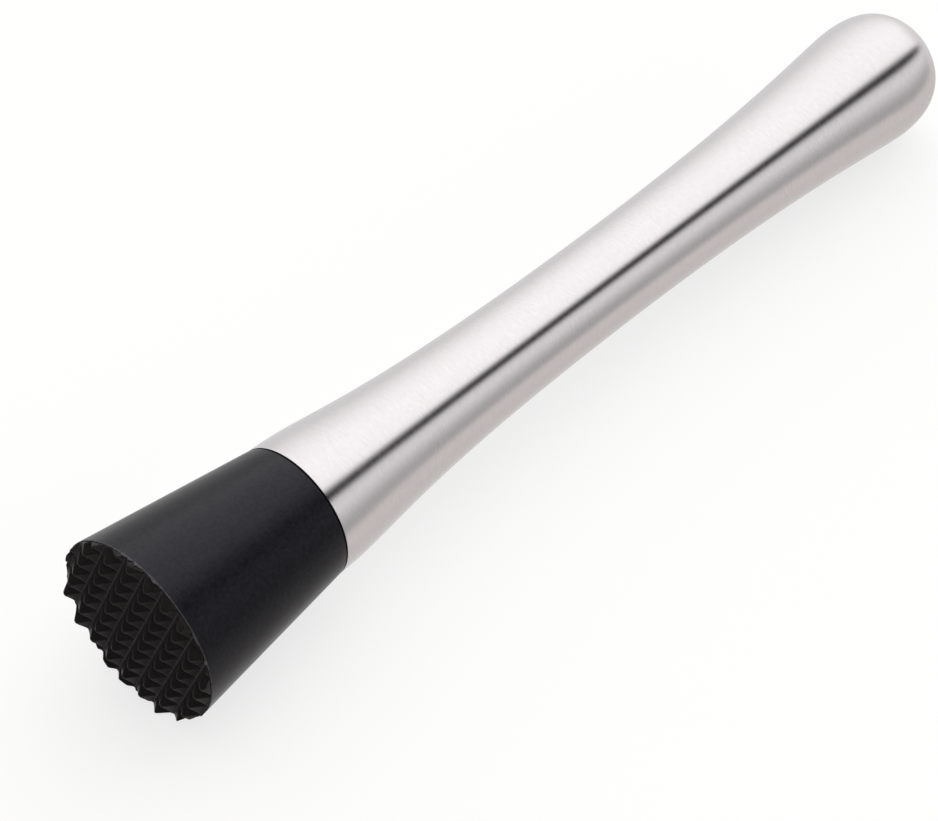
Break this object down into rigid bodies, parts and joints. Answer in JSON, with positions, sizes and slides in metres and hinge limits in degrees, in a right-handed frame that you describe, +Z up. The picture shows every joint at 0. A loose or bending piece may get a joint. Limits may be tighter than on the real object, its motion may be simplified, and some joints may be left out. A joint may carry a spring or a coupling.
{
  "type": "muddler",
  "caption": "Bar muddler: waisted hollow steel handle with a rounded bulb end, on a black tapered head whose flat face carries a grid of blunt teeth.",
  "frame": {"origin": "midway along the muddler, straight below its axis, on the plane that the wide rim of the head touches", "axes": "+X along the muddler's axis from the toothed face towards the bulb, +Z up as it lies on its side"},
  "size_m": [0.2032, 0.0328, 0.0329],
  "materials": {
    "brushed_steel": "satin, brushed round the circumference",
    "black_nylon": "fine satin moulded, slightly glossy on the tooth edges",
    "black_rubber": "matte",
    "cured_epoxy": "cured amber resin"
  },
  "bodies": {
    "root": {"handle_shell": "brushed_steel", "muddler_head": "black_nylon", "spigot_o_ring": "black_rubber", "bond_ring": "cured_epoxy"}
  },
  "joints": []
}
